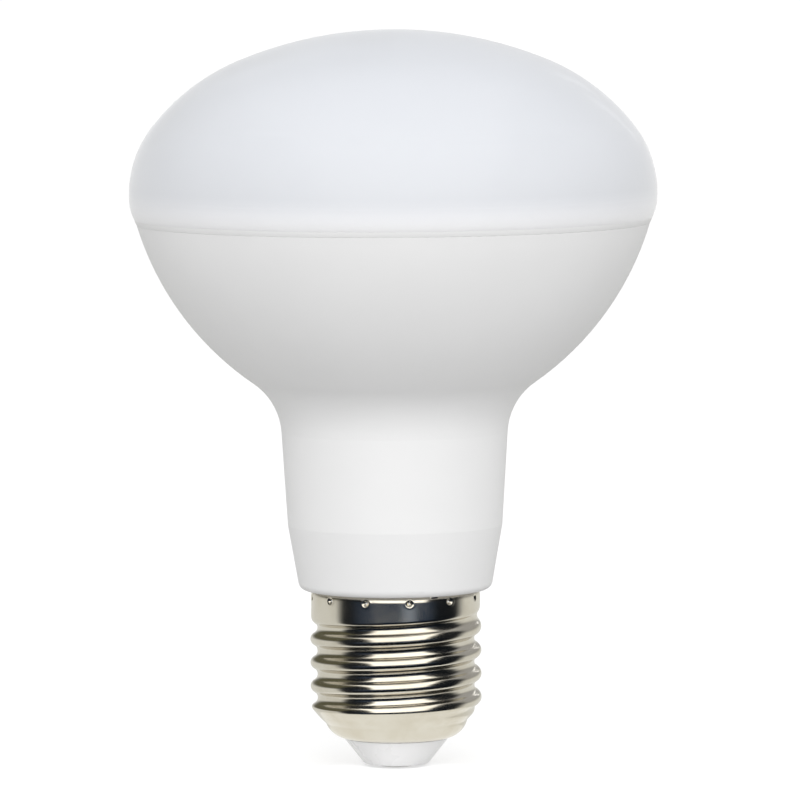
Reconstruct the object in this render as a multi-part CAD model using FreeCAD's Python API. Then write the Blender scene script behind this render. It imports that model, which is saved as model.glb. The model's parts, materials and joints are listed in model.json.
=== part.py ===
import FreeCAD
import Part
import math
import os

# Reflector lamp, cap down. Millimetres, +Z runs from the centre contact to the top of the dome.
# The origin is on the axis, at the tip of the centre contact.

# Diffuser: milky dome that overhangs the housing and plugs into its mouth
dome_radius = 40.5
dome_height = 25.0
crown_ease = 0.95
side_ease = 1.07
dome_wall = 1.8
dome_straight = 0.6
dome_overhang = 1.05
brow_radius = 7.1
lip_round = 0.4
skirt_wall = 1.4
skirt_depth = 3.0

# Housing: one moulding, a bowl that runs into a tapered neck
seam_z = 84.1
bowl_radius = 45.4
bowl_centre_rise = 12.5
bowl_neck_blend = 10.0
neck_radius = 16.5
neck_foot_length = 10.0
neck_slope = 0.0625
foot_slope = 0.175
foot_round = 1.3
housing_wall = 1.5
mouth_rim = 1.9
counterbore_depth = 3.3
ledge_drop = 8.1
ledge_width = 3.0
ledge_thickness = 1.6

# Screw cap: thin rolled shell with a round thread that fades out at both ends
thread_pitch = 3.629
thread_crest = 13.17
thread_depth = 1.09
thread_share = 0.9
ridge_flank = ((0.25, 0.68), (0.72, 0.4), (1.0, 0.14))
thread_foot_z = 7.02
thread_turns = 4.5
collar_radius = 13.0
collar_length = 3.5
collar_blend = 1.3
shell_wall = 0.3
shell_top_z = 27.4
nose_radius = 11.05
nose_round = 3.55
fade_slope = 2.2
lip_radius = 8.1
lip_z = 4.47

# Insulator and centre contact
insulator_tip_radius = 5.0
insulator_tip_round = 0.5
flange_radius = 9.2
flange_height = 1.8
contact_radius = 3.6
contact_flat = 2.4
contact_crown = 0.25
contact_thickness = 0.45
contact_pin_radius = 1.0
contact_pin_top_z = 8.6

# Spigot of the housing inside the collar, with the seat of the driver board
spigot_length = 3.2
spigot_wall = 1.5
spigot_floor = 0.8

# Heat spreader, light board and its fixings
plate_thickness = 1.2
plate_rim_height = 4.0
plate_rim_round = 1.5
plate_window = 4.5
plate_play = 0.3
board_thickness = 1.0
board_inset = 1.6
board_window = 2.6
screw_inset = 6.3
screw_count = 3
screw_radius = 1.4
screw_length = 8.0
screw_head_radius = 2.6
screw_head_height = 1.7
screw_head_round = 0.8
screw_recess_length = 2.4
screw_recess_width = 0.5
screw_recess_depth = 0.9
screw_play = 0.5
boss_wall = 1.7
boss_height = 9.0
led_counts = (5, 11)
led_inset = 6.5
led_length = 3.5
led_width = 2.8
led_height = 0.8
led_window = 2.2
led_window_depth = 0.15

# Driver board and what stands on it
driver_thickness = 1.6
driver_play = 0.95
driver_top_drop = 7.0
tongue_play = 2.65
tongue_foot_z = 12.0
rail_thickness = 1.3
rail_depth = 3.2
rail_length = 23.6
capacitor_radius = 5.0
capacitor_length = 16.0
capacitor_rise = 4.8
capacitor_x = -3.5
capacitor_groove = 0.4
capacitor_groove_rise = 1.6
choke_radius = 4.8
choke_length = 11.0
choke_flange = 1.3
choke_winding_gap = 0.3
choke_core_radius = 2.2
choke_rise = 13.8
fuse_radius = 1.7
fuse_length = 8.5
fuse_rise = 3.0
fuse_x = -4.0
film_size = (7.2, 3.2, 8.0)
film_x = 5.4
film_drop = 16.0
bridge_size = (5.0, 2.2, 4.2)
bridge_rise = 0.2
chip_size = (3.9, 1.5, 4.9)
chip_x = -7.0
chip_drop = 17.0
diode_size = (2.7, 2.1, 4.3)
diode_x = 7.0
diode_drop = 9.0
package_bevel = 0.4
lead_radius = 0.4
lead_bend = 1.0
lead_landing = 4.0
neutral_lead_rise = 8.0
neutral_lead_x = 6.0
pin_side = 0.64
pin_spacing = 2.54
header_drop = 5.0
header_height = 2.5
header_depth = 2.5
socket_height = 6.0
socket_wall = 1.2

# Fits, and how far a cutting shape runs past the face that it cuts
fit_clearance = 0.1
seat_clearance = 0.05
overcut = 1.0
edge_tolerance = 1e-3

mouth_radius = dome_radius - dome_overhang
counterbore_radius = mouth_radius - mouth_rim
brow_centre_z = seam_z + math.sqrt(brow_radius ** 2 - (brow_radius - dome_overhang) ** 2)
dome_base_z = brow_centre_z + dome_straight
bowl_centre_z = seam_z + bowl_centre_rise
bowl_centre_r = mouth_radius - math.sqrt(bowl_radius ** 2 - bowl_centre_rise ** 2)
neck_kink_z = shell_top_z + neck_foot_length
ledge_z = seam_z - ledge_drop
thread_root = thread_crest - thread_depth
shell_bore = thread_root - shell_wall
spigot_radius = collar_radius - shell_wall - seat_clearance
spigot_bore = spigot_radius - spigot_wall
housing_foot_z = shell_top_z - spigot_length
driver_seat_z = shell_top_z + spigot_floor
plate_top_z = ledge_z + plate_thickness
board_top_z = plate_top_z + board_thickness
driver_top_z = ledge_z - driver_top_drop
header_z = driver_top_z - header_drop
choke_z = driver_seat_z + choke_rise
fuse_z = tongue_foot_z + fuse_rise
neutral_lead_z = tongue_foot_z + neutral_lead_rise
driver_face = driver_thickness / 2
pin_y = driver_face + header_depth / 2
pin_places = (-pin_spacing / 2, pin_spacing / 2)
screw_turns = [360 * i / screw_count for i in range(screw_count)]
axis = FreeCAD.Vector(0, 0, 1)
origin = FreeCAD.Vector(0, 0, 0)


def at(r, z):
    return FreeCAD.Vector(r, 0, z)


def line(a, b):
    return Part.LineSegment(a, b).toShape()


def lines(points):
    return [line(a, b) for a, b in zip(points, points[1:])]


def arc(centre, radius, start, end):
    """Arc in the XZ plane, with its ends in degrees from +X towards +Z."""
    def spot(degrees):
        turn = math.radians(degrees)
        return centre + at(radius * math.cos(turn), radius * math.sin(turn))
    return Part.Arc(spot(start), spot((start + end) / 2), spot(end)).toShape()


def bearing(centre, point):
    return math.degrees(math.atan2(point.z - centre.z, point.x - centre.x))


def revolve(edges):
    """Solid of revolution about the axis from the edges of a closed loop."""
    return Part.Face(Part.Wire(Part.sortEdges(edges)[0])).revolve(origin, axis, 360)


def turned(points):
    corners = [at(r, z) for r, z in points]
    return revolve(lines(corners + corners[:1]))


def around(shape, degrees):
    copy = shape.copy()
    copy.rotate(origin, axis, degrees)
    return copy


def block(width, depth, height, x, y, z):
    """Box centred on x and y, standing on z."""
    return Part.makeBox(width, depth, height, FreeCAD.Vector(x - width / 2, y - depth / 2, z))


def bevelled(shape, size, direction):
    """Chamfers the edges round the flat face that looks along a direction."""
    def looks(face):
        return face.normalAt(0, 0).dot(direction) > 0.99
    top = max((f for f in shape.Faces if looks(f)), key=lambda f: f.CenterOfMass.dot(direction))
    return shape.makeChamfer(size, top.Edges)


def bowl_reach(inset, z):
    """Radius of the bowl at a height, inset from its outer face."""
    return bowl_centre_r + math.sqrt((bowl_radius - inset) ** 2 - (bowl_centre_z - z) ** 2)


def neck_reach(inset, z):
    """Radius of the neck at a height, above its kink or below it."""
    slope = neck_slope if z >= neck_kink_z else foot_slope
    return neck_radius + slope * (z - neck_kink_z) - inset * math.hypot(1, slope)


plate_radius = bowl_reach(housing_wall, ledge_z) - plate_play
screw_circle = plate_radius - screw_inset
led_circle = screw_circle - led_inset
driver_width = 2 * (neck_reach(housing_wall, driver_seat_z) - driver_play)
tongue_width = 2 * (spigot_bore - tongue_play)


def dome_arcs(inset):
    """Crown, shoulder and side of the dome as tangent arcs that follow half an ellipse from its top down."""
    crown_radius = crown_ease * dome_radius ** 2 / dome_height
    side_radius = side_ease * dome_height ** 2 / dome_radius
    shoulder_radius = (dome_radius + dome_height) / 2
    crown = at(0, dome_base_z + dome_height - crown_radius)
    side = at(dome_radius - side_radius, dome_base_z)
    span = side - crown
    inner = crown_radius - shoulder_radius
    along = (inner ** 2 - (shoulder_radius - side_radius) ** 2 + span.Length ** 2) / (2 * span.Length)
    across = math.sqrt(inner ** 2 - along ** 2)
    run = span / span.Length
    shoulder = crown + run * along + at(-run.z, run.x) * across
    first_bend = bearing(crown, shoulder)
    second_bend = bearing(shoulder, side)
    return [
        arc(crown, crown_radius - inset, 90, first_bend),
        arc(shoulder, shoulder_radius - inset, first_bend, second_bend),
        arc(side, side_radius - inset, second_bend, 0),
    ]


def diffuser():
    side = at(dome_radius, dome_base_z)
    top = at(0, dome_base_z + dome_height)
    brow_centre = at(dome_radius - brow_radius, brow_centre_z)
    brow_foot = at(mouth_radius, seam_z)
    brow = arc(brow_centre, brow_radius, 0, bearing(brow_centre, brow_foot))
    skirt_radius = counterbore_radius - fit_clearance
    foot_z = seam_z - skirt_depth
    skirt = [brow_foot, at(skirt_radius, seam_z), at(skirt_radius, foot_z), at(0, foot_z), top]
    outer = revolve(dome_arcs(0) + [line(side, at(dome_radius, brow_centre_z)), brow] + lines(skirt))
    bore = skirt_radius - skirt_wall
    low_z = foot_z - overcut
    throat = [
        at(dome_radius - dome_wall, dome_base_z), at(bore, seam_z + dome_wall), at(bore, low_z),
        at(0, low_z), at(0, top.z - dome_wall),
    ]
    shell = outer.cut(revolve(dome_arcs(dome_wall) + lines(throat)))
    return shell.makeFillet(lip_round, ring_edges(shell, mouth_radius, seam_z))


def ring_edges(shape, radius, z):
    """The circular edges of a shape that lie at a radius and a height."""
    def fits(bounds):
        flat = max(abs(bounds.ZMin - z), abs(bounds.ZMax - z)) < edge_tolerance
        return flat and abs(bounds.XMax - radius) < edge_tolerance
    return [edge for edge in shape.Edges if fits(edge.BoundBox)]


def blend_points(inset):
    """Centre of the blend of bowl and neck, and where it leaves the neck and meets the bowl."""
    radius = bowl_neck_blend + inset
    reach = bowl_radius + bowl_neck_blend
    tilt = math.hypot(1, neck_slope)
    run = neck_radius + bowl_neck_blend * tilt - neck_slope * neck_kink_z - bowl_centre_r
    a = tilt ** 2
    b = neck_slope * run - bowl_centre_z
    c = run ** 2 + bowl_centre_z ** 2 - reach ** 2
    z = (-b - math.sqrt(b ** 2 - a * c)) / a
    centre = at(bowl_centre_r + run + neck_slope * z, z)
    bowl_centre = at(bowl_centre_r, bowl_centre_z)
    meet = centre + (bowl_centre - centre) * (radius / reach)
    leave = centre + at(-1, neck_slope) * (radius / tilt)
    return centre, leave, meet


def bowl_and_neck(inset, low_z, high_z):
    """Edges of the housing's side at an inset, from low_z on the foot up to high_z on the bowl."""
    centre, leave, meet = blend_points(inset)
    bowl_centre = at(bowl_centre_r, bowl_centre_z)
    high = at(bowl_reach(inset, high_z), high_z)
    kink = at(neck_reach(inset, neck_kink_z), neck_kink_z)
    middle = (leave + meet - centre * 2).normalize() * (bowl_neck_blend + inset)
    blend = Part.Arc(leave, centre + middle, meet).toShape()
    bowl = arc(bowl_centre, bowl_radius - inset, bearing(bowl_centre, meet), bearing(bowl_centre, high))
    return lines([at(neck_reach(inset, low_z), low_z), kink, leave]) + [blend, bowl]


def housing_cavity():
    """Inside of the housing: neck, bowl, ledge for the heat spreader, and counterbore for the diffuser."""
    bowl_centre = at(bowl_centre_r, bowl_centre_z)
    ledge_foot_z = ledge_z - ledge_thickness - ledge_width
    wall = at(bowl_reach(housing_wall, ledge_z), ledge_z)
    tip = wall.x - ledge_width
    floor_z = seam_z - counterbore_depth
    shoulder = at(bowl_reach(housing_wall, floor_z), floor_z)
    upper = arc(bowl_centre, bowl_radius - housing_wall, bearing(bowl_centre, wall), bearing(bowl_centre, shoulder))
    below = housing_foot_z - overcut
    above = seam_z + overcut
    foot = at(neck_reach(housing_wall, driver_seat_z), driver_seat_z)
    ledge = [at(bowl_reach(housing_wall, ledge_foot_z), ledge_foot_z), at(tip, ledge_z - ledge_thickness)]
    ledge += [at(tip, ledge_z), wall]
    mouth = [shoulder, at(counterbore_radius, floor_z), at(counterbore_radius, above), at(0, above)]
    mouth += [at(0, below), at(spigot_bore, below), at(spigot_bore, driver_seat_z), foot]
    side = bowl_and_neck(housing_wall, driver_seat_z, ledge_foot_z)
    return revolve(side + lines(ledge) + [upper] + lines(mouth))


def housing():
    """Bowl, neck and spigot in one moulding, with bosses for the screws and rails for the driver board."""
    foot_radius = neck_reach(0, shell_top_z)
    rim = [at(mouth_radius, seam_z), at(0, seam_z), at(0, shell_top_z), at(foot_radius, shell_top_z)]
    outer = revolve(bowl_and_neck(0, shell_top_z, seam_z) + lines(rim))
    outer = outer.makeFillet(foot_round, ring_edges(outer, foot_radius, shell_top_z))
    outer = outer.fuse(Part.makeCylinder(spigot_radius, spigot_length + spigot_floor, at(0, housing_foot_z)))
    ribs = [around(boss(), turn) for turn in screw_turns]
    ribs += [rail(side, face) for side in (-1, 1) for face in (-1, 1)]
    shell = outer.cut(housing_cavity()).fuse([rib.common(outer) for rib in ribs])
    return shell.cut([around(screw_hole(), turn) for turn in screw_turns])


def boss():
    radius = screw_radius + fit_clearance + boss_wall
    return Part.makeCylinder(radius, boss_height, at(screw_circle, ledge_z - boss_height))


def screw_hole():
    depth = screw_length - plate_thickness - board_thickness + screw_play
    return Part.makeCylinder(screw_radius + seat_clearance, depth, at(screw_circle, ledge_z - depth))


def rail(side, face):
    """One rib of the pair that holds an edge of the driver board."""
    inner_x = driver_width / 2 - rail_depth
    middle_x = side * (inner_x + neck_radius) / 2
    middle_y = face * (driver_face + seat_clearance + rail_thickness / 2)
    foot_z = driver_seat_z - spigot_floor
    return block(neck_radius - inner_x, rail_thickness, rail_length, middle_x, middle_y, foot_z)


def ridge_section(inset):
    """Round ridge of the thread, from one flank's foot to the other, sunk a little into the wall."""
    half = thread_pitch * thread_share / 2
    flank = [(-shell_wall / 2, half)] + [(rise * thread_depth, width * half) for rise, width in ridge_flank]
    outline = flank + [(r, -z) for r, z in reversed(flank)]
    points = [at(thread_root - inset + r, thread_foot_z + z) for r, z in outline]
    return Part.makePolygon(points + points[:1])


def thread_ridge(inset):
    turns = thread_turns - inset / (2 * math.pi * thread_root)
    path = Part.makeHelix(thread_pitch, thread_pitch * turns, thread_root - inset)
    path.translate(at(0, thread_foot_z))
    return Part.Wire(path.Edges).makePipeShell([ridge_section(inset)], True, True)


def nose_centre():
    r = nose_radius - nose_round
    return at(r, lip_z + math.sqrt(nose_round ** 2 - (lip_radius - r) ** 2))


def nose_and_fade(inset, top_z):
    """Everything inside the nose and the cone at which the thread fades out."""
    centre = nose_centre()
    lip = centre + (at(lip_radius, lip_z) - centre) * ((nose_round - inset) / nose_round)
    nose = arc(centre, nose_round - inset, bearing(centre, lip), 0)
    neck = nose_radius - inset
    wide = thread_crest + shell_wall
    fade_top_z = centre.z + (wide - neck) / fade_slope
    corners = [(neck, centre.z), (wide, fade_top_z), (wide, top_z), (0, top_z), (0, lip.z), (lip.x, lip.z)]
    return revolve([nose] + lines([at(r, z) for r, z in corners]))


def collar(inset, top_z):
    foot_z = shell_top_z - collar_length
    sunk = shell_wall / 2
    return turned([
        (0, foot_z - collar_blend - sunk),
        (thread_root - inset - sunk, foot_z - collar_blend - sunk),
        (collar_radius - inset, foot_z),
        (collar_radius - inset, top_z),
        (0, top_z),
    ])


def threaded_form(inset, top_z):
    root = Part.makeCylinder(thread_root - inset, top_z - lip_z, at(0, lip_z))
    threaded = root.fuse(thread_ridge(inset)).common(nose_and_fade(inset, top_z + overcut))
    return threaded.fuse(collar(inset, top_z))


def screw_shell():
    """Sheet of one thickness, with the thread rolled into both its faces."""
    mouth = Part.makeCylinder(lip_radius, overcut, at(0, lip_z - overcut + shell_wall))
    return threaded_form(0, shell_top_z).cut(threaded_form(shell_wall, shell_top_z + overcut)).cut(mouth)


def insulator():
    """Cone around the centre contact, held by its flange inside the nose of the shell."""
    nose = nose_centre()
    flange_foot_z = nose.z - math.sqrt((nose_round - shell_wall) ** 2 - (flange_radius - nose.x) ** 2) + seat_clearance
    neck = lip_radius - fit_clearance
    bore = contact_pin_radius + seat_clearance
    cone_top_z = lip_z - seat_clearance
    body = turned([
        (bore, contact_thickness),
        (insulator_tip_radius, contact_thickness),
        (lip_radius, cone_top_z),
        (neck, cone_top_z),
        (neck, flange_foot_z),
        (flange_radius, flange_foot_z),
        (flange_radius, flange_foot_z + flange_height),
        (bore, flange_foot_z + flange_height),
    ])
    return body.makeFillet(insulator_tip_round, ring_edges(body, insulator_tip_radius, contact_thickness))


def centre_contact():
    return turned([
        (0, 0),
        (contact_flat, 0),
        (contact_radius, contact_crown),
        (contact_radius, contact_thickness),
        (contact_pin_radius, contact_thickness),
        (contact_pin_radius, contact_pin_top_z),
        (0, contact_pin_top_z),
    ])


def heat_spreader():
    """Pressed dish that stands on the ledge, with its rim turned up."""
    radius = plate_radius
    bend = at(radius - plate_rim_round, ledge_z + plate_rim_round)
    rim_z = ledge_z + plate_rim_height
    inner = radius - plate_thickness
    dish = revolve(
        lines([at(0, plate_top_z), at(0, ledge_z), at(bend.x, ledge_z)])
        + [arc(bend, plate_rim_round, -90, 0)]
        + lines([at(radius, bend.z), at(radius, rim_z), at(inner, rim_z), at(inner, bend.z)])
        + [arc(bend, plate_rim_round - plate_thickness, 0, -90), line(at(bend.x, plate_top_z), at(0, plate_top_z))]
    )
    window = Part.makeCylinder(plate_window, plate_thickness, FreeCAD.Vector(0, pin_y, ledge_z))
    return dish.cut([window] + board_holes(ledge_z, plate_thickness))


def board_holes(z, depth):
    hole = Part.makeCylinder(screw_radius + fit_clearance, depth, at(screw_circle, z))
    return [around(hole, turn) for turn in screw_turns]


def led_board():
    disc = Part.makeCylinder(plate_radius - plate_thickness - board_inset, board_thickness, at(0, plate_top_z))
    window = Part.makeCylinder(board_window, board_thickness, FreeCAD.Vector(0, pin_y, plate_top_z))
    return disc.cut([window] + board_holes(plate_top_z, board_thickness))


def led(radius, degrees):
    """Light package with its shallow window, long side along the radius."""
    body = block(led_length, led_width, led_height, radius, 0, board_top_z)
    window = block(led_window, led_window, led_window_depth, radius, 0, board_top_z + led_height - led_window_depth)
    return around(body.cut(window), degrees)


def board_screw():
    """Pan head screw with a cross recess."""
    head = Part.makeCylinder(screw_head_radius, screw_head_height, at(screw_circle, board_top_z))
    crown = ring_edges_near(head, board_top_z + screw_head_height)
    head = head.makeFillet(screw_head_round, crown)
    shank = Part.makeCylinder(screw_radius, screw_length, at(screw_circle, board_top_z - screw_length))
    recess_z = board_top_z + screw_head_height - screw_recess_depth
    bars = [(screw_recess_length, screw_recess_width), (screw_recess_width, screw_recess_length)]
    cross = [block(width, depth, screw_recess_depth, screw_circle, 0, recess_z) for width, depth in bars]
    return head.fuse(shank).cut(cross)


def ring_edges_near(shape, z):
    def fits(bounds):
        return max(abs(bounds.ZMin - z), abs(bounds.ZMax - z)) < edge_tolerance
    return [edge for edge in shape.Edges if fits(edge.BoundBox)]


def board_screws():
    return Part.makeCompound([around(board_screw(), turn) for turn in screw_turns])


def led_socket():
    """Socket on the light board that takes the two output pins from below."""
    width = pin_spacing + pin_side + 2 * socket_wall
    body = block(width, pin_side + 2 * socket_wall, socket_height, 0, pin_y, board_top_z)
    body = bevelled(body, package_bevel, axis)
    side = pin_side + 2 * seat_clearance
    depth = socket_height - socket_wall
    return body.cut([block(side, side, depth, x, pin_y, board_top_z) for x in pin_places])


def output_pins():
    top_z = board_top_z + socket_height - socket_wall - seat_clearance
    pins = [block(pin_side, pin_side, top_z - header_z, x, pin_y, header_z) for x in pin_places]
    return Part.makeCompound(pins)


def output_header():
    """Plastic base that holds the output pins against the driver board."""
    width = pin_spacing + pin_side + 2 * socket_wall
    body = block(width, 2 * (pin_y - driver_face), header_height, 0, pin_y, header_z)
    return body.cut([block(pin_side, pin_side, header_height, x, pin_y, header_z) for x in pin_places])


def driver_board():
    """Upright board: a wide part that stands on the seat, and a tongue that reaches down into the cap."""
    wide = block(driver_width, driver_thickness, driver_top_z - driver_seat_z, 0, 0, driver_seat_z)
    tongue = block(tongue_width, driver_thickness, driver_seat_z - tongue_foot_z, 0, 0, tongue_foot_z)
    return wide.fuse(tongue).removeSplitter()


def electrolytic_capacitor():
    """Aluminium can lying along the board, with the groove that holds its bung."""
    can = Part.makeCylinder(capacitor_radius, capacitor_length, at(0, 0))
    can = can.makeFillet(capacitor_groove, ring_edges_near(can, capacitor_length))
    ring_radius = capacitor_radius + capacitor_groove / 2
    can = can.cut(Part.makeTorus(ring_radius, capacitor_groove, at(0, capacitor_groove_rise)))
    y = driver_face + capacitor_radius + seat_clearance
    can.translate(FreeCAD.Vector(capacitor_x, y, driver_seat_z + capacitor_rise))
    return can


def choke_post(radius, near, far):
    """Cylinder that stands on the back of the board, between two distances from it."""
    base = FreeCAD.Vector(0, -driver_face - near, choke_z)
    return Part.makeCylinder(radius, far - near, base, FreeCAD.Vector(0, -1, 0))


def choke_core():
    """Ferrite spool with a flange at each end."""
    spool = choke_post(choke_core_radius, 0, choke_length)
    return spool.fuse([
        choke_post(choke_radius, 0, choke_flange),
        choke_post(choke_radius, choke_length - choke_flange, choke_length),
    ]).removeSplitter()


def choke_winding():
    near = choke_flange + seat_clearance
    far = choke_length - choke_flange - seat_clearance
    wound = choke_post(choke_radius - choke_winding_gap, near, far)
    return wound.cut(choke_post(choke_core_radius + seat_clearance, near, far))


def fuse_resistor():
    place = FreeCAD.Vector(fuse_x, driver_face + fuse_radius + seat_clearance, fuse_z)
    body = Part.makeCylinder(fuse_radius, fuse_length, place)
    ends = ring_edges_near(body, fuse_z) + ring_edges_near(body, fuse_z + fuse_length)
    return body.makeFillet(package_bevel, ends)


def package(size, x, z, face):
    """Component of width, depth and height that lies flat on one face of the driver board."""
    width, depth, height = size
    body = block(width, depth, height, x, face * (driver_face + depth / 2), z)
    return bevelled(body, package_bevel, FreeCAD.Vector(0, face, 0))


def film_capacitor():
    return package(film_size, film_x, driver_top_z - film_drop, 1)


def bridge_rectifier():
    return package(bridge_size, 0, driver_seat_z + bridge_rise, -1)


def driver_chip():
    return package(chip_size, chip_x, driver_top_z - chip_drop, -1)


def output_diode():
    return package(diode_size, diode_x, driver_top_z - diode_drop, -1)


def bent_lead(points):
    """Round wire along straight runs joined by tangent arcs."""
    edges = []
    start = points[0]
    for before, corner, after in zip(points, points[1:], points[2:]):
        back = (before - corner).normalize()
        onward = (after - corner).normalize()
        half_turn = (math.pi - back.getAngle(onward)) / 2
        trim = lead_bend * math.tan(half_turn)
        middle = (back + onward).normalize()
        bend_top = corner + middle * (lead_bend / math.cos(half_turn) - lead_bend)
        enter = corner + back * trim
        leave = corner + onward * trim
        edges += [line(start, enter), Part.Arc(enter, bend_top, leave).toShape()]
        start = leave
    edges.append(line(start, points[-1]))
    ring = Part.Wire(Part.makeCircle(lead_radius, points[0], points[1] - points[0]))
    return Part.Wire(edges).makePipeShell([ring], True, False)


def live_lead():
    """From the top of the contact pin up to the front of the driver board."""
    y = driver_face + lead_radius + seat_clearance
    step_z = tongue_foot_z - lead_radius
    low_z = contact_pin_top_z + lead_bend
    return bent_lead([
        at(0, contact_pin_top_z),
        at(0, low_z),
        FreeCAD.Vector(0, y, step_z),
        FreeCAD.Vector(0, y, tongue_foot_z + lead_landing),
    ])


def neutral_lead():
    """From the back of the driver board out to the wall of the shell."""
    y = driver_face + lead_radius + seat_clearance
    end_x = math.sqrt((shell_bore - seat_clearance) ** 2 - (y + lead_radius) ** 2)
    return bent_lead([
        FreeCAD.Vector(neutral_lead_x, -y, neutral_lead_z - lead_landing),
        FreeCAD.Vector(neutral_lead_x, -y, neutral_lead_z),
        FreeCAD.Vector(end_x, -y, neutral_lead_z),
    ])


makers = [
    diffuser, housing, screw_shell, insulator, centre_contact, heat_spreader, led_board, board_screws,
    led_socket, output_pins, output_header, driver_board, electrolytic_capacitor, film_capacitor,
    choke_core, choke_winding, fuse_resistor, bridge_rectifier, driver_chip, output_diode,
    live_lead, neutral_lead,
]

os.makedirs("parts", exist_ok=True)
for maker in makers:
    maker().exportStep("parts/" + maker.__name__ + ".step")

led_number = 0
for ring, count in enumerate(led_counts, start=1):
    for index in range(count):
        led_number += 1
        package_at = led(led_circle * ring / len(led_counts), 360 * index / count)
        package_at.exportStep("parts/led_%02d.step" % led_number)
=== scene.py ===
import bpy
import json
import math
import numpy as np
from mathutils import Matrix, Vector


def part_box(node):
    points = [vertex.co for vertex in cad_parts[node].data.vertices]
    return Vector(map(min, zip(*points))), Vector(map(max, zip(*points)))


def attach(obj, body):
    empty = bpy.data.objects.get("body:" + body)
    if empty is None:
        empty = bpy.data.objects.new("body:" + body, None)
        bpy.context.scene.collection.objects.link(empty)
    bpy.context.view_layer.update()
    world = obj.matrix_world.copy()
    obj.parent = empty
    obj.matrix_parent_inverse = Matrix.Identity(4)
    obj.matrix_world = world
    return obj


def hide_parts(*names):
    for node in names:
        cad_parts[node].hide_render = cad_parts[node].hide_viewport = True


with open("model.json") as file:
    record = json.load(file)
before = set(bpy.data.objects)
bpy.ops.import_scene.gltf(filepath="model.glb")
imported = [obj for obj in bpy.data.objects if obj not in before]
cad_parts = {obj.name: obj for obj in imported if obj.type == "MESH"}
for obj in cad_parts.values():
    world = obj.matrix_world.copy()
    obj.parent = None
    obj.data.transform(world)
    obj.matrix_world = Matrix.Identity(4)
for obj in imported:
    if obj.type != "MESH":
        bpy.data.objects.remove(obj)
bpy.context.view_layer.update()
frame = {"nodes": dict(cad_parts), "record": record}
mm = 0.001
fullTurn = 2 * math.pi
noiseSpan = (0.3, 0.7)  # noise seldom leaves this range
mixShare, mixUnder, mixOver, mixResult = 0, 6, 7, 2  # sockets of a Mix node that blends colours


# Turns an sRGB hex colour into the linear colour that shaders take
def toLinear(hexColour):
    parts = [int(hexColour[i:i + 2], 16) / 255 for i in (1, 3, 5)]
    linear = [p / 12.92 if p <= 0.04045 else ((p + 0.055) / 1.055) ** 2.4 for p in parts]
    return (*linear, 1.0)


# Adds a node. Each setting is a property of it, a value for an input, or a socket to link to an input
def addNode(tree, kind, settings=None):
    node = tree.nodes.new(kind)
    for name, value in (settings or {}).items():
        if not isinstance(name, int) and name not in node.inputs:
            setattr(node, name, value)
        elif isinstance(value, bpy.types.NodeSocket):
            tree.links.new(value, node.inputs[name])
        else:
            node.inputs[name].default_value = value
    return node


def newMaterial(name):
    material = bpy.data.materials.new(name)
    material.use_nodes = True
    material.node_tree.nodes.clear()
    return material, material.node_tree


# Noise whose blots are about size millimetres across, and longer along each axis by stretch
def grainOf(tree, size, stretch=(1, 1, 1), detail=3.0):
    place = addNode(tree, "ShaderNodeTexCoord")
    scaled = addNode(tree, "ShaderNodeMapping", {
        "Vector": place.outputs["Object"],
        "Scale": [1 / (size * mm * s) for s in stretch],
    })
    noise = addNode(tree, "ShaderNodeTexNoise", {
        "Vector": scaled.outputs[0],
        "Scale": 1.0,
        "Detail": detail,
        "Roughness": 0.55,
    })
    return noise.outputs[0]


# Goes from one colour to another as a value goes from start to end. A colour is a hex or a socket
def blendBy(tree, value, start, end, first, second, easing="LINEAR"):
    share = addNode(tree, "ShaderNodeMapRange", {
        "interpolation_type": easing,
        "Value": value,
        "From Min": start,
        "From Max": end,
    })
    under, over = [toLinear(c) if isinstance(c, str) else c for c in (first, second)]
    mix = addNode(tree, "ShaderNodeMix", {
        "data_type": "RGBA",
        mixShare: share.outputs[0],
        mixUnder: under,
        mixOver: over,
    })
    return mix.outputs[mixResult]


# Lifts a surface by up to depth millimetres with one pattern, and makes it rougher, from the first
# roughness to the second, with another
def uneven(tree, relief, depth, patches, roughness):
    bump = addNode(tree, "ShaderNodeBump", {
        "Strength": 1.0,
        "Distance": depth * mm,
        "Height": relief,
    })
    gloss = addNode(tree, "ShaderNodeMapRange", {
        "Value": patches,
        "From Min": noiseSpan[0],
        "From Max": noiseSpan[1],
        "To Min": roughness[0],
        "To Max": roughness[1],
    })
    return {"Roughness": gloss.outputs[0], "Normal": bump.outputs[0]}


# Milky polycarbonate, injection moulded and polished: smooth, with a faint swell that breaks up
# what it mirrors. It is greyest at the crown, which has the lamp's hollow behind it, and painted shade
# darkens the dome's top there too. It is palest just over the seam, where the white rim behind shows
# through, and painted light brightens it further
diffuserPlan = {
    # painted shade: a greyer colour that darkens the dome's crown
    "paintedShadeCrownColour": "#CCCFD5",
    "colour": "#DCDEE2",
    # painted light: a paler colour that brightens the dome just over the seam
    "paintedLightRimColour": "#F9F9FB",
    "paintedLightHeight": 5.6,  # mm over the seam
    "swell": 14.0,  # mm across
    "swellDepth": 0.10,  # mm
    "ior": 1.58,
    "roughness": (0.378, 0.504),
    "shine": 0.1,
    "polish": 0.14,
    "polishRoughness": 0.04,
    "rimLight": 0.7,
    "rimLightRoughness": 0.35,
    "milkiness": 0.35,
    "lightDepth": 1.4,  # mm that light goes under the surface
}


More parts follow.
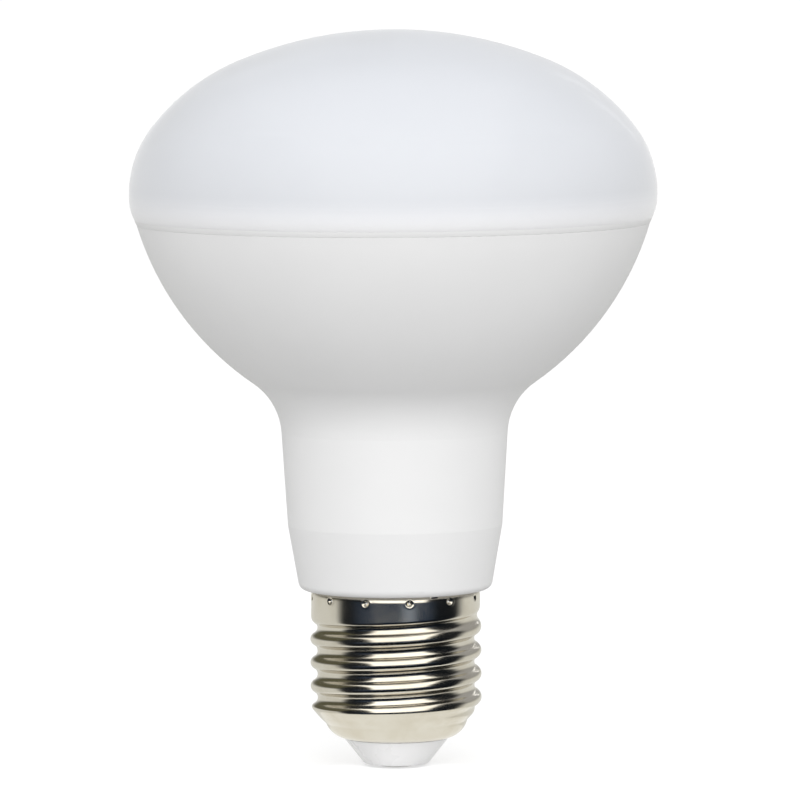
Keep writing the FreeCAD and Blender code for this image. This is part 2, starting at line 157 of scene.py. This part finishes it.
def milkyPolycarbonate():
    plan = diffuserPlan
    material, tree = newMaterial("polycarbonateMilkyPolishedMoulding")
    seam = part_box("housing")[1].z
    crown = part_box("diffuser")[1].z
    rimTop = seam + plan["paintedLightHeight"] * mm
    place = addNode(tree, "ShaderNodeTexCoord")
    parts = addNode(tree, "ShaderNodeSeparateXYZ", {0: place.outputs["Object"]})
    height = parts.outputs["Z"]
    # greyer towards the crown: painted shade
    body = blendBy(tree, height, rimTop, crown, plan["colour"], plan["paintedShadeCrownColour"])
    # paler just over the seam: painted light, with the white rim behind showing through
    colour = blendBy(tree, height, seam, rimTop, plan["paintedLightRimColour"], body, "SMOOTHSTEP")
    swell = grainOf(tree, plan["swell"], detail=1.0)
    shader = addNode(tree, "ShaderNodeBsdfPrincipled", {
        "Base Color": colour,
        "IOR": plan["ior"],
        "Specular IOR Level": plan["shine"],
        "Coat Weight": plan["polish"],
        "Coat Roughness": plan["polishRoughness"],
        "Sheen Weight": plan["rimLight"],
        "Sheen Roughness": plan["rimLightRoughness"],
        "Subsurface Weight": plan["milkiness"],
        "Subsurface Radius": (1.0, 1.0, 1.0),
        "Subsurface Scale": plan["lightDepth"] * mm,
        **uneven(tree, swell, plan["swellDepth"], swell, plan["roughness"]),
    })
    addNode(tree, "ShaderNodeOutputMaterial", {"Surface": shader.outputs[0]})
    return material


# White polycarbonate from a spark-eroded mould: matte, with a grain too fine to see apart
housingPlan = {
    "colour": "#F1F1F1",
    "shade": "#EEEEEE",
    "flow": 22.0,  # mm across the soft patches that the melt leaves as it fills the mould
    "grain": 0.25,  # the real grain is about 0.05 mm, drawn coarser so that it shows
    "grainDepth": 0.004,  # mm
    "ior": 1.58,
    "roughness": (0.47, 0.57),
    "shine": 0.4,
}


def whitePolycarbonate():
    plan = housingPlan
    material, tree = newMaterial("polycarbonateWhiteSparkErodedMoulding")
    flow = grainOf(tree, plan["flow"])
    grain = grainOf(tree, plan["grain"])
    shader = addNode(tree, "ShaderNodeBsdfPrincipled", {
        "Base Color": blendBy(tree, flow, *noiseSpan, plan["shade"], plan["colour"]),
        "IOR": plan["ior"],
        "Specular IOR Level": plan["shine"],
        **uneven(tree, grain, plan["grainDepth"], grain, plan["roughness"]),
    })
    addNode(tree, "ShaderNodeOutputMaterial", {"Surface": shader.outputs[0]})
    return material


# Thin sheet, rolled to a thread and nickel plated: a warm mirror with fine lines round it
shellFinish = {
    "colour": "#DCD7CB",
    "stain": "#D4CDBE",
    "stainSize": 5.0,  # mm across
    "stainSpan": (0.4, 0.75),
    "lineWidth": 0.12,  # the rolls leave lines of about 0.02 mm, drawn coarser so that they show
    "lineStretch": 60,  # how many times longer than wide
    "lineDepth": 0.0012,  # mm
    "roughness": (0.14, 0.224),
}


def nickelPlate():
    plan = shellFinish
    material, tree = newMaterial("nickelPlatedRolledSheet")
    stain = grainOf(tree, plan["stainSize"])
    around = (plan["lineStretch"], plan["lineStretch"], 1)
    lines = grainOf(tree, plan["lineWidth"], around, detail=2.0)
    shader = addNode(tree, "ShaderNodeBsdfPrincipled", {
        "Base Color": blendBy(tree, stain, *plan["stainSpan"], plan["colour"], plan["stain"]),
        "Metallic": 1.0,
        **uneven(tree, lines, plan["lineDepth"], stain, plan["roughness"]),
    })
    addNode(tree, "ShaderNodeOutputMaterial", {"Surface": shader.outputs[0]})
    return material


# The other finishes, by the record's slot: what it is, colour, second colour, size of the blots in mm,
# how deep they stand in mm, roughness, and how metallic
otherFinishes = {
    # thermoset resin from a polished mould: white and smooth, with a soft shine
    "insulator": ("ureaResinWhitePolishedMoulding", "#F6F6F7", "#F4F4F5", 6.0, 0.0004, 0.28, 0),
    # stamped brass, tinned and worn by handling: dull dark grey
    "contact_metal": ("brassTinnedStamping", "#8F8F8E", "#6E6D6B", 0.8, 0.01, 0.34, 1),
    # pressed aluminium sheet: pale satin with rolling marks
    "spreader": ("aluminiumPressedSheet", "#D6D7D8", "#C8C9CB", 1.2, 0.004, 0.38, 1),
    # solder mask printed on an aluminium board: even white with a low gloss
    "light_board": ("aluminiumBoardWhitePrintedMask", "#EFEFEC", "#E8E8E4", 1.5, 0.002, 0.4, 0),
    # steel screws, zinc plated: bright grey with a faint blue cast
    "screws": ("steelZincPlated", "#B9BDC2", "#A3A8AE", 0.6, 0.004, 0.32, 1),
    # nylon connector body: off-white and slightly waxy
    "connector": ("nylonNaturalMoulding", "#E6E2D4", "#DED9C8", 1.0, 0.003, 0.45, 0),
    # drawn brass pins with a thin tin coat: pale yellow metal
    "pins": ("brassDrawnTinned", "#D2C7A0", "#BFB288", 0.5, 0.002, 0.28, 1),
    # glass fibre laminate under green mask: the weave just lifts the surface
    "driver_board": ("glassFibreLaminateGreenMask", "#2F6B3C", "#285C34", 0.9, 0.006, 0.36, 0),
    # aluminium can in a shrunk film sleeve: dark and glossy
    "capacitor_can": ("shrunkFilmSleeveDark", "#23262B", "#2C3036", 2.0, 0.003, 0.25, 0),
    # epoxy that the part was dipped in: deep red, rounded, with a wet shine
    "film_capacitor": ("epoxyRedDipped", "#9C2A1E", "#8A2218", 1.2, 0.012, 0.18, 0),
    # sintered ferrite: charcoal and slightly rough
    "ferrite": ("ferriteSintered", "#3A3836", "#312F2E", 0.3, 0.01, 0.62, 0),
    # enamelled copper wire, wound: orange brown lacquer over metal
    "winding": ("copperWireEnamelled", "#B5622B", "#8E4A20", 0.35, 0.03, 0.3, 1),
    # flameproof coat, dipped on a ceramic rod: dull green grey
    "resistor": ("flameproofCoatDipped", "#7C8F7E", "#6E8070", 0.7, 0.01, 0.6, 0),
    # moulded epoxy packages: black with a fine matte grain
    "packages": ("epoxyBlackMoulding", "#2A2A2C", "#232325", 0.25, 0.004, 0.55, 0),
    # tinned copper wire: soft silver
    "leads": ("copperWireTinned", "#CFCFCC", "#BDBDB8", 0.6, 0.003, 0.3, 1),
    # white package filled with phosphor in clear silicone: a yellow, slightly sticky gloss
    "light_package": ("siliconePhosphorFilled", "#E8D36A", "#DFC652", 0.5, 0.004, 0.35, 0),
}
otherGlossSpread = 0.15  # share by which their roughness goes up and down


def plainFinish(slot):
    name, first, second, size, depth, roughness, metallic = otherFinishes[slot]
    material, tree = newMaterial(name)
    grain = grainOf(tree, size)
    roughnessRange = [roughness * (1 + sign * otherGlossSpread) for sign in (-1, 1)]
    shader = addNode(tree, "ShaderNodeBsdfPrincipled", {
        "Base Color": blendBy(tree, grain, *noiseSpan, first, second),
        "Metallic": float(metallic),
        **uneven(tree, grain, depth, grain, roughnessRange),
    })
    addNode(tree, "ShaderNodeOutputMaterial", {"Surface": shader.outputs[0]})
    return material


# The cap's sheet, in millimetres and degrees. The thread is right hand, and its crest crosses +X at
# crestHeight. The nose is the rounded end below the thread, which turns in to the mouth
shellForm = {
    "sheet": 0.3,
    "pitch": 3.629,
    "depth": 1.09,
    "crestHeight": 14.28,
    "collarRadius": 13.0,
    "crestFade": (21.5, 24.5),  # heights between which the crest sinks to the collar
    "grooveFade": (21.6, 25.1),  # heights between which the groove fills up to the collar
    "lastGroove": 1.5,  # pitches that the last groove starts above crestHeight
    "shoulderSharpness": 1.6,
    "noseRadius": 11.05,
    "noseRound": 3.55,
    "mouthRadius": 8.1,
    "fadeDrop": 0.95,  # the thread begins this far under the middle of the nose's round
    "fadeLean": 0.25,  # and this much lower still on one side, where it ends
    "fadeSide": 207.0,  # from +X
    "fadeSlope": 0.85,
    "threadEase": 0.4,
    "rimBend": 0.26,
    "rimBendLength": 0.95,
    "rimRound": 0.06,
    "punches": 12,
    "firstPunch": 189.5,  # from +X
    "punchHeight": 26.4,
    "punchDepth": 0.42,
    "punchWidth": 0.36,
    "ringLift": 0.05,  # raised ring round each punch mark
    "ringAway": 1.7,  # in widths of the mark, as is the next
    "ringWidth": 0.5,
    "burrTurn": 297.3,  # from +X
    "burrLift": 0.3,
    "burrLength": 0.5,
    "burrHeight": 0.3,
}

# How finely the cap is drawn
shellMesh = {
    "turnSteps": 384,
    "crowding": 0.7,  # how much closer the steps stand at the punch marks
    "rowStep": 0.135,
    "innerEvery": 3,  # the inner face has one row for this many of the outer face
    "rimLength": 2.0,  # the last stretch under the rim has rows of its own
    "rimRows": 30,
    "noseRows": 14,
    "innerNoseRows": 8,
    "bandFoot": 1.4,  # the nose's rows end this far under the middle of its round
    "edgeShares": (0.25, 0.5, 0.75),  # where rows lie on the half round of a cut edge
}


# Height of the round thread over its root, as a share of its depth, at a distance along the axis
# from the crest
def threadShare(x):
    form = shellForm
    quarter = form["pitch"] / 4
    radius = (quarter ** 2 + (form["depth"] / 2) ** 2) / form["depth"]
    crownDrop = radius - np.sqrt(radius ** 2 - np.minimum(np.abs(x), quarter) ** 2)
    crown = 1 - crownDrop / form["depth"]
    rest = np.clip(2 * quarter - np.abs(x), 0, quarter)
    groove = (radius - np.sqrt(radius ** 2 - rest ** 2)) / form["depth"]
    return np.where(np.abs(x) <= quarter, crown, groove)


def easeBetween(value, bounds):
    share = np.clip((value - bounds[0]) / (bounds[1] - bounds[0]), 0, 1)
    return share * share * (3 - 2 * share)


# Radius of the thread and the collar at a height and a turn, in millimetres and radians. Near the top
# the crest sinks to the collar's radius and the groove fills up to it, more sharply in front
def threadRadius(z, turn, crest):
    form = shellForm
    pitch, collar, root = form["pitch"], form["collarRadius"], crest - form["depth"]
    back = 0.25  # turns from +X
    turns = turn / fullTurn
    along = (z - form["crestHeight"]) / pitch - turns
    x = (along - np.round(along)) * pitch
    crestHeight = z - x
    grooveHeight = crestHeight + np.copysign(pitch / 2, x)
    crestRadius = crest + (collar - crest) * easeBetween(crestHeight, form["crestFade"])
    grooveRadius = root + (collar - root) * easeBetween(grooveHeight, form["grooveFade"])
    thread = grooveRadius + (crestRadius - grooveRadius) * threadShare(x)
    lastGroove = form["crestHeight"] + pitch * (turns + form["lastGroove"])
    lastGroove = np.where(turns < back, lastGroove + pitch, lastGroove)
    above = np.maximum(z - lastGroove, 0) * form["shoulderSharpness"]
    lastRadius = root + (collar - root) * easeBetween(lastGroove, form["grooveFade"])
    fill = threadShare(pitch / 2 - np.minimum(above, pitch / 2))
    sharp = lastRadius + (collar - lastRadius) * fill
    inFront = 0.5 - 0.5 * np.cos(fullTurn * (turns - back))
    return np.where(z > lastGroove, thread + (sharp - thread) * inFront, thread)


# Radius of the cap's outer face: the smaller of the nose's and the thread's, eased into each other
def capRadius(z, turn, crest, noseHeight):
    form = shellForm
    threaded = threadRadius(z, turn, crest)
    low = np.minimum(z - noseHeight, 0)
    nose = form["noseRadius"] - form["noseRound"] + np.sqrt(form["noseRound"] ** 2 - low ** 2)
    lean = form["fadeLean"] * np.cos(turn - math.radians(form["fadeSide"]))
    fadeHeight = noseHeight - form["fadeDrop"] - lean
    nose = nose + np.maximum(z - fadeHeight, 0) * form["fadeSlope"]
    mix = np.clip(0.5 + 0.5 * (nose - threaded) / form["threadEase"], 0, 1)
    return nose + (threaded - nose) * mix - form["threadEase"] * mix * (1 - mix)


# What the bent rim, the punch marks and the burr on the rim add to the radius
def capMarks(z, turn, top):
    form = shellForm
    added = -form["rimBend"] * np.clip((z - top) / form["rimBendLength"] + 1, 0, 1) ** 2
    step = fullTurn / form["punches"]
    offset = (turn - math.radians(form["firstPunch"])) / step
    aside = (offset - np.round(offset)) * step * form["collarRadius"]
    away = np.hypot(aside, z - form["punchHeight"]) / form["punchWidth"]
    added = added - form["punchDepth"] * np.exp(-away ** 2)
    ring = np.exp(-((away - form["ringAway"]) / form["ringWidth"]) ** 2)
    added = added + form["ringLift"] * ring
    burrAside = (turn - math.radians(form["burrTurn"])) * form["collarRadius"]
    burr = np.exp(-(burrAside / form["burrLength"]) ** 2)
    return added + form["burrLift"] * burr * np.clip((z - top) / form["burrHeight"] + 1, 0, 1)


# Joins a closed ring of rows, each with the same number of points around, into one mesh
def meshFromRows(name, points):
    rows, steps = points.shape[:2]
    index = np.arange(rows * steps).reshape(rows, steps)
    following = np.roll(index, -1, axis=0)
    corners = [index, np.roll(index, -1, 1), np.roll(following, -1, 1), following]
    faces = np.stack(corners, -1).reshape(-1, 4)
    mesh = bpy.data.meshes.new(name)
    mesh.from_pydata((points.reshape(-1, 3) * mm).tolist(), [], faces.tolist())
    mesh.update()
    mesh.shade_smooth()
    piece = bpy.data.objects.new(name, mesh)
    bpy.context.scene.collection.objects.link(piece)
    return piece


# Rows of the cap's skin, as radii and heights: up the outside from the mouth, over the rim, down the
# inside, and round the lip at the mouth
def capRows(turn):
    form, fine = shellForm, shellMesh
    low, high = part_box("screw_shell")
    top, foot, crest = high.z / mm, low.z / mm, high.x / mm
    half = form["sheet"] / 2
    noseMiddle = form["noseRadius"] - form["noseRound"]
    reach = form["mouthRadius"] - noseMiddle
    noseHeight = foot + math.sqrt(form["noseRound"] ** 2 - reach ** 2)
    bandFoot = noseHeight - fine["bandFoot"]
    noseEnd = math.asin((bandFoot - noseHeight) / form["noseRound"])
    noseStart = -math.acos(reach / form["noseRound"])

    def roundRows(places):
        return [(np.full(len(turn), r), np.full(len(turn), z)) for r, z in places]

    def noseRows(inset, count):
        radius = form["noseRound"] - inset
        tilts = np.linspace(noseStart, noseEnd, count)[:-1]
        places = [(noseMiddle + radius * math.cos(t), noseHeight + radius * math.sin(t)) for t in tilts]
        return roundRows(places)

    def bandRows(heights, inset):
        z, a = np.meshgrid(heights, turn, indexing="ij")
        r = capRadius(z, a, crest, noseHeight) + capMarks(z, a, top)
        return list(zip(r - inset, z))

    rimFoot, rimTop = top - fine["rimLength"], top - form["rimRound"]
    heights = np.concatenate([
        np.arange(bandFoot, rimFoot, fine["rowStep"]),
        np.linspace(rimFoot, rimTop, fine["rimRows"]),
    ])
    edge = [share * math.pi for share in fine["edgeShares"]]
    rimR, rimZ = bandRows([rimTop], 0)[0]
    rim = [(rimR - half + half * math.cos(e), rimZ + form["rimRound"] * math.sin(e)) for e in edge]
    lipR = noseMiddle + (form["noseRound"] - half) * math.cos(noseStart)
    lipZ = noseHeight + (form["noseRound"] - half) * math.sin(noseStart)
    lip = []
    for e in edge:
        outward = half * math.cos(math.pi - e)
        onward = -half * math.sin(e)
        r = lipR + outward * math.cos(noseStart) - onward * math.sin(noseStart)
        z = lipZ + outward * math.sin(noseStart) + onward * math.cos(noseStart)
        lip.append((r, z))
    outside = noseRows(0, fine["noseRows"]) + bandRows(heights, 0)
    inside = bandRows(heights[::-fine["innerEvery"]], form["sheet"])
    inside += noseRows(form["sheet"], fine["innerNoseRows"])[::-1]
    return outside + rim + inside + roundRows(lip)


# The cap as it is rolled: the source's form, with the punch marks, the bent rim and its burr
def rolledCap():
    form, fine = shellForm, shellMesh
    step = fullTurn / fine["turnSteps"]
    even = np.arange(fine["turnSteps"]) * step
    first = math.radians(form["firstPunch"])
    crowd = fine["crowding"] / form["punches"] * np.sin(form["punches"] * (even - first))
    turn = even - crowd
    rows = capRows(turn)
    r = np.array([row[0] for row in rows])
    z = np.array([row[1] for row in rows])
    points = np.stack([r * np.cos(turn), r * np.sin(turn), z], -1)
    cap = meshFromRows("rolledScrewCap", points)
    cap.data.materials.append(nickelPlate())
    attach(cap, "root")
    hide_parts("screw_shell")


# Bead of white plastic that the weld presses out of the bowl's rim, in millimetres. It fills the
# groove under the dome, so the seam is a thin light line and not a dark one
beadPlan = {
    "top": (0.25, 0.48),  # from the bowl's rim, outwards and up
    "foot": (-0.10, -0.34),
    "tuck": 0.1,  # share of its height that each end goes on under the face beside it
    "bulge": 0.035,
    "depth": 0.5,
    "rows": 9,
    "steps": 192,
}


def seamBead():
    plan = beadPlan
    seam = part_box("housing")[1]
    turn = np.linspace(0, fullTurn, plan["steps"] + 1)[:-1]
    along = np.linspace(-plan["tuck"], 1 + plan["tuck"], plan["rows"])
    (topOut, topRise), (footOut, footRise) = plan["top"], plan["foot"]
    out = footOut + (topOut - footOut) * along + plan["bulge"] * (1 - (2 * along - 1) ** 2)
    rise = footRise + (topRise - footRise) * along
    # the last row lies inside the groove
    r = seam.x / mm + np.append(out, -plan["depth"])[:, None] + 0 * turn
    z = seam.z / mm + np.append(rise, 0.0)[:, None] + 0 * turn
    bead = meshFromRows("seamBead", np.stack([r * np.cos(turn), r * np.sin(turn), z], -1))
    bead.data.materials.append(frame["nodes"]["housing"].data.materials[0])
    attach(bead, "root")


# Gives each node of the frame the finish of its slot in the record. The cap's is on its own mesh
def dressFrame():
    made = {"milky_diffuser": milkyPolycarbonate(), "white_housing": whitePolycarbonate()}
    made.update({slot: plainFinish(slot) for slot in otherFinishes})
    for part in frame["record"]["subparts"]:
        slot = part["material_slot"]
        if slot in made:
            materials = frame["nodes"][part["node"]].data.materials
            materials.clear()
            materials.append(made[slot])


# What the lamp stands in: even daylight, and white all round for the camera. Mirrored rays see a dark
# room in front instead, with pale walls at the sides and a wide softbox that arches over the lamp.
# Turns are in degrees from the camera, plus to the right, and rises in degrees from level
studioPlan = {
    "daylight": 0.90,
    "backdrop": "#FFFFFF",
    "roomDark": "#0D1218",
    # colour, strength, turns, rises, softness, and each lies over the ones before it
    "panels": [
        # side walls over eye level, left and right, then below it
        ("#5F5D4B", 1.0, (-185, -84), (8, 60), 14),
        ("#FFFFFF", 0.42, (106, 185), (8, 60), 18),
        ("#FFFFFA", 0.78, (-185, -84), (-95, 6), 16),
        ("#FFFFFA", 0.80, (100, 185), (-95, 6), 22),
        # blue-grey light that comes back from the room, and a paler spot in it
        ("#333E50", 1.0, (-56, 52), (-18, 4), 22),
        ("#8792A4", 1.0, (10, 27), (-14, -2), 16),
        # narrow strips behind, which leave faint streaks on the dome's shoulders
        ("#FFFFFF", 1.8, (155.5, 159), (9, 23), 2),
        ("#FFFFFF", 1.7, (163.5, 166.5), (15, 24), 2),
        ("#FFFFFF", 0.8, (-174, -158), (26, 36), 8),
    ],
    "boxColour": "#FFFDF8",
    "boxStrength": 1.8,
    "boxSides": (-33, 42),  # degrees to the left and right of the lamp's middle plane
    "boxTaper": 0.32,  # its right edge comes in by this share of the tilt past boxTaperFrom
    "boxTaperFrom": 60.0,
    "boxTilts": (1.0, 124.0),  # from level in front, up and over to the back
    "boxSoftness": 8.0,
    "boxEndSoftness": 50.0,
    "beyond": 190,  # past every angle, for a band that is open on one side
}


# 1 between two bounds and 0 outside them, with soft edges
def band(tree, value, low, high, softness):
    edges = [
        addNode(tree, "ShaderNodeMapRange", {
            "interpolation_type": "SMOOTHSTEP",
            "Value": value,
            "From Min": bound - softness / 2,
            "From Max": bound + softness / 2,
            "To Min": before,
            "To Max": after,
        })
        for bound, before, after in ((low, 0.0, 1.0), (high, 1.0, 0.0))
    ]
    both = addNode(tree, "ShaderNodeMath", {
        "operation": "MULTIPLY",
        0: edges[0].outputs[0],
        1: edges[1].outputs[0],
    })
    return both.outputs[0]


# Angle in degrees, from an inverse function of one or two parts of a direction
def angleOf(tree, inverse, *parts):
    angle = addNode(tree, "ShaderNodeMath", {"operation": inverse, **dict(enumerate(parts))})
    degrees = addNode(tree, "ShaderNodeMath", {"operation": "DEGREES", 0: angle.outputs[0]})
    return degrees.outputs[0]


# Where the overhead softbox is: 1 on it and 0 beside it, by how far to the side and how far over
def softboxShares(tree, side, tilt):
    plan = studioPlan
    beyond, softness = plan["beyond"], plan["boxSoftness"]
    (left, right), (foot, end) = plan["boxSides"], plan["boxTilts"]
    over = addNode(tree, "ShaderNodeMath", {
        "operation": "SUBTRACT",
        0: tilt,
        1: plan["boxTaperFrom"],
    })
    past = addNode(tree, "ShaderNodeMath", {"operation": "MAXIMUM", 0: over.outputs[0], 1: 0.0})
    inward = addNode(tree, "ShaderNodeMath", {
        "operation": "MULTIPLY",
        0: past.outputs[0],
        1: plan["boxTaper"],
    })
    tapered = addNode(tree, "ShaderNodeMath", {"operation": "ADD", 0: side, 1: inward.outputs[0]})
    across = addNode(tree, "ShaderNodeMath", {
        "operation": "MULTIPLY",
        0: band(tree, side, left, beyond, softness),
        1: band(tree, tapered.outputs[0], -beyond, right, softness),
    })
    along = addNode(tree, "ShaderNodeMath", {
        "operation": "MULTIPLY",
        0: band(tree, tilt, foot, beyond, softness),
        1: band(tree, tilt, -beyond, end, plan["boxEndSoftness"]),
    })
    return across.outputs[0], along.outputs[0]


def studioWorld():
    plan = studioPlan
    world = bpy.data.worlds.new("studio")
    bpy.context.scene.world = world
    world.use_nodes = True
    tree = world.node_tree
    tree.nodes.clear()
    place = addNode(tree, "ShaderNodeTexCoord")
    way = addNode(tree, "ShaderNodeSeparateXYZ", {0: place.outputs["Generated"]}).outputs
    front = addNode(tree, "ShaderNodeMath", {"operation": "MULTIPLY", 0: way["Y"], 1: -1.0}).outputs[0]
    turn = angleOf(tree, "ARCTAN2", way["X"], front)
    rise = angleOf(tree, "ARCSINE", way["Z"])
    side = angleOf(tree, "ARCSINE", way["X"])
    tilt = angleOf(tree, "ARCTAN2", way["Z"], front)
    layers = [
        (band(tree, turn, *turns, softness), band(tree, rise, *rises, softness), hexColour, strength)
        for hexColour, strength, turns, rises, softness in plan["panels"]
    ]
    layers.append((*softboxShares(tree, side, tilt), plan["boxColour"], plan["boxStrength"]))
    painted = toLinear(plan["roomDark"])
    for across, along, hexColour, strength in layers:
        share = addNode(tree, "ShaderNodeMath", {"operation": "MULTIPLY", 0: across, 1: along})
        mix = addNode(tree, "ShaderNodeMix", {
            "data_type": "RGBA",
            mixShare: share.outputs[0],
            mixUnder: painted,
            mixOver: [c * strength for c in toLinear(hexColour)],
        })
        painted = mix.outputs[mixResult]
    backdrop = toLinear(plan["backdrop"])
    mirrored = addNode(tree, "ShaderNodeBackground", {"Color": painted})
    white = addNode(tree, "ShaderNodeBackground", {"Color": backdrop})
    light = addNode(tree, "ShaderNodeBackground", {"Color": backdrop, "Strength": plan["daylight"]})
    rays = addNode(tree, "ShaderNodeLightPath").outputs
    straight = addNode(tree, "ShaderNodeMath", {
        "operation": "MAXIMUM",
        0: rays["Is Camera Ray"],
        1: rays["Is Transmission Ray"],
    })
    direct = addNode(tree, "ShaderNodeMixShader", {
        0: straight.outputs[0],
        1: light.outputs[0],
        2: white.outputs[0],
    })
    final = addNode(tree, "ShaderNodeMixShader", {
        0: rays["Is Glossy Ray"],
        1: direct.outputs[0],
        2: mirrored.outputs[0],
    })
    addNode(tree, "ShaderNodeOutputWorld", {"Surface": final.outputs[0]})


# Flat piece of the stage at the height of the contact's tip
def flatSheet(name, outline):
    mesh = bpy.data.meshes.new(name)
    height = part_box("centre_contact")[0].z
    mesh.from_pydata([(x, y, height) for x, y in outline], [], [range(len(outline))])
    sheet = bpy.data.objects.new(name, mesh)
    bpy.context.scene.collection.objects.link(sheet)
    return sheet


# Pale paper sweep: the camera sees it white, and the lamp's soft shadow stays on it. Just in front of
# the lamp it has a painted pool of light, a paler colour that lights the front of the cone from below
floorPlan = {
    "reach": 20.0,  # metres from the lamp to each side
    "colour": "#BCBCBC",
    # painted light: a pool of paler floor just in front of the lamp
    "paintedLightColour": "#F2F2F2",
    "paintedLightPlace": (0.0, -18.0),  # mm across and along from the lamp's axis
    "fade": (9.0, 22.0),  # mm from there
    "whiteForCamera": 0.58,
}


def paperFloor():
    plan = floorPlan
    reach = plan["reach"]
    floor = flatSheet("paperFloor", [(-reach, -reach), (reach, -reach), (reach, reach), (-reach, reach)])
    material, tree = newMaterial("paperSweepPale")
    across, along = plan["paintedLightPlace"]
    place = addNode(tree, "ShaderNodeTexCoord")
    away = addNode(tree, "ShaderNodeVectorMath", {
        "operation": "DISTANCE",
        0: place.outputs["Object"],
        1: (across * mm, along * mm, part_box("centre_contact")[0].z),
    })
    near, far = plan["fade"]
    colours = plan["paintedLightColour"], plan["colour"]
    # paler near the lamp's front: the painted pool of light
    colour = blendBy(tree, away.outputs["Value"], near * mm, far * mm, *colours)
    paper = addNode(tree, "ShaderNodeBsdfDiffuse", {"Color": colour})
    rays = addNode(tree, "ShaderNodeLightPath")
    strength = addNode(tree, "ShaderNodeMath", {
        "operation": "MULTIPLY",
        0: rays.outputs["Is Camera Ray"],
        1: plan["whiteForCamera"],
    })
    glow = addNode(tree, "ShaderNodeEmission", {"Strength": strength.outputs[0]})
    both = addNode(tree, "ShaderNodeAddShader", {0: paper.outputs[0], 1: glow.outputs[0]})
    addNode(tree, "ShaderNodeOutputMaterial", {"Surface": both.outputs[0]})
    floor.data.materials.append(material)
    floor.visible_glossy = False


# Glowing disc that only mirrored rays see, a painted reflection, which puts the cream light on the
# cap's shoulder and under the thread
sheetPlan = {
    "radius": 23.0,
    "steps": 64,
    "tint": "#FFFFFB",
    "strength": 1.0,
}


def mirroredSheet():
    plan = sheetPlan
    radius = plan["radius"] * mm
    turns = np.linspace(0, fullTurn, plan["steps"] + 1)[:-1]
    sheet = flatSheet("mirroredSheet", [(radius * math.cos(t), radius * math.sin(t)) for t in turns])
    material, tree = newMaterial("glowDiscPaintedReflection")
    # the disc glows: a painted reflection, not a lamp that lights anything
    glow = addNode(tree, "ShaderNodeEmission", {
        "Color": toLinear(plan["tint"]),
        "Strength": plan["strength"],
    })
    addNode(tree, "ShaderNodeOutputMaterial", {"Surface": glow.outputs[0]})
    sheet.data.materials.append(material)
    sheet.visible_camera = False
    sheet.visible_diffuse = False
    sheet.visible_shadow = False
    sheet.visible_transmission = False


# Softbox over the camera, in metres and watts. It gives the bowl its shading, and no mirrored ray
# sees it
frontBoxPlan = {
    "place": (0.1, -1.4, 0.80),
    "aim": (0, 0, 0.06),
    "size": 0.9,
    "power": 10.8,
}


def frontBox():
    plan = frontBoxPlan
    light = bpy.data.lights.new("frontBox", "AREA")
    light.shape = "SQUARE"
    light.size = plan["size"]
    light.energy = plan["power"]
    lamp = bpy.data.objects.new("frontBox", light)
    bpy.context.scene.collection.objects.link(lamp)
    lamp.location = plan["place"]
    aim = Vector(plan["aim"]) - Vector(plan["place"])
    lamp.rotation_euler = aim.to_track_quat("-Z", "Y").to_euler()
    lamp.visible_glossy = False


# Camera, from the photograph: a long lens a metre off, looking slightly down on the lamp
cameraPlan = {
    "distance": 1069 * mm,
    "height": 142.9 * mm,
    "aside": 0.86 * mm,  # the lamp stands a little left of the middle
    "pitch": 4.62,
    "roll": 0.34,  # the lamp leans to the left by this
    "focalLength": 314.2,
    "sensor": 36.0,
    "farthest": 100.0,
}


def setCamera():
    plan = cameraPlan
    data = bpy.data.cameras.new("camera")
    data.lens = plan["focalLength"]
    data.sensor_width = plan["sensor"]
    data.clip_end = plan["farthest"]
    camera = bpy.data.objects.new("camera", data)
    bpy.context.scene.collection.objects.link(camera)
    place = Matrix.Translation((plan["aside"], -plan["distance"], plan["height"]))
    tilt = Matrix.Rotation(math.radians(90 - plan["pitch"]), 4, "X")
    lean = Matrix.Rotation(math.radians(-plan["roll"]), 4, "Z")
    camera.matrix_world = place @ tilt @ lean
    bpy.context.scene.camera = camera


print("materials of the frame")
dressFrame()
print("screw cap and seam")
rolledCap()
seamBead()
print("studio")
studioWorld()
paperFloor()
mirroredSheet()
print("softbox and camera")
frontBox()
setCamera()
bpy.context.scene.view_settings.view_transform = "Standard"
